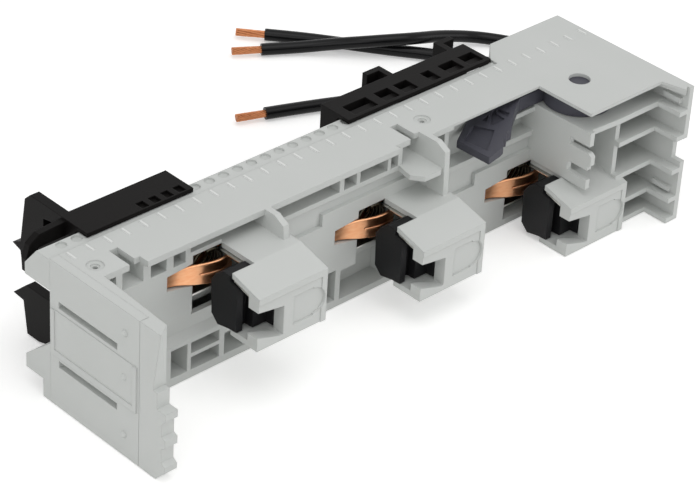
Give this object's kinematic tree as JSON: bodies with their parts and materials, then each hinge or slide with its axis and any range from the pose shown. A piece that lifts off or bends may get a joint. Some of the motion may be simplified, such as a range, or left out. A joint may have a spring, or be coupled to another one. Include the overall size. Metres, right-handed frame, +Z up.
{
  "type": "busbar adapter",
  "caption": "Long busbar adapter with hooked clamps and sprung copper contacts on one side, sliding device rails on the other, a locking lever and bare-ended leads.",
  "frame": {"origin": "middle of the body's length and of its depth between the rear wall and the seam, at the lower side it lies on", "axes": "+X along the body from the slotted end to the lead outlets, +Y from the busbar side to the device side, +Z up across the width"},
  "size_m": [0.2415, 0.1657, 0.046],
  "materials": {
    "light_grey_plastic": "satin moulded",
    "slate_plastic": "satin moulded",
    "black_plastic": "satin moulded",
    "copper": "bright copper",
    "spring_steel": "bright",
    "black_insulation": "smooth, slightly glossy"
  },
  "bodies": {
    "adapter": {"housing": "light_grey_plastic", "end_cover": "light_grey_plastic", "front_frame": "light_grey_plastic", "jaw_1": "black_plastic", "jaw_2": "black_plastic", "jaw_3": "black_plastic", "claw_clip_1": "spring_steel", "claw_clip_2": "spring_steel", "claw_clip_3": "spring_steel", "contact_carrier_1": "light_grey_plastic", "contact_carrier_2": "light_grey_plastic", "contact_carrier_3": "light_grey_plastic", "contact_strip_1": "spring_steel", "contact_strip_2": "spring_steel", "contact_strip_3": "spring_steel", "conductor_1": "copper", "conductor_2": "copper", "conductor_3": "copper", "lead_1": "black_insulation", "lead_2": "black_insulation", "lead_3": "black_insulation", "lead_strands_1": "copper", "lead_strands_2": "copper", "lead_strands_3": "copper"},
    "lever": {"lever": "slate_plastic"},
    "rail_1": {"rail_1": "black_plastic"},
    "rail_2": {"rail_2": "black_plastic"},
    "contact_1": {"contact_1": "copper", "contact_spring_1": "spring_steel"},
    "contact_2": {"contact_2": "copper", "contact_spring_2": "spring_steel"},
    "contact_3": {"contact_3": "copper", "contact_spring_3": "spring_steel"}
  },
  "joints": [
    {"name": "lever_turn", "type": "hinge", "parent": "adapter", "child": "lever", "pos_m": [0.0762, -0.0136, 0.04], "axis": [0, 0, 1], "range_deg": [0, 80]},
    {"name": "rail_1_slide", "type": "slide", "parent": "adapter", "child": "rail_1", "axis": [1, 0, 0], "range_m": [-0.01, 0.02]},
    {"name": "rail_2_slide", "type": "slide", "parent": "adapter", "child": "rail_2", "axis": [1, 0, 0], "range_m": [-0.025, 0]},
    {"name": "contact_1_press", "type": "slide", "parent": "adapter", "child": "contact_1", "axis": [0, 1, 0], "range_m": [0, 0.001], "stiffness_N_per_m": 2000, "springref_m": -0.0005},
    {"name": "contact_2_press", "type": "slide", "parent": "adapter", "child": "contact_2", "axis": [0, 1, 0], "range_m": [0, 0.001], "stiffness_N_per_m": 2000, "springref_m": -0.0005},
    {"name": "contact_3_press", "type": "slide", "parent": "adapter", "child": "contact_3", "axis": [0, 1, 0], "range_m": [0, 0.001], "stiffness_N_per_m": 2000, "springref_m": -0.0005}
  ]
}
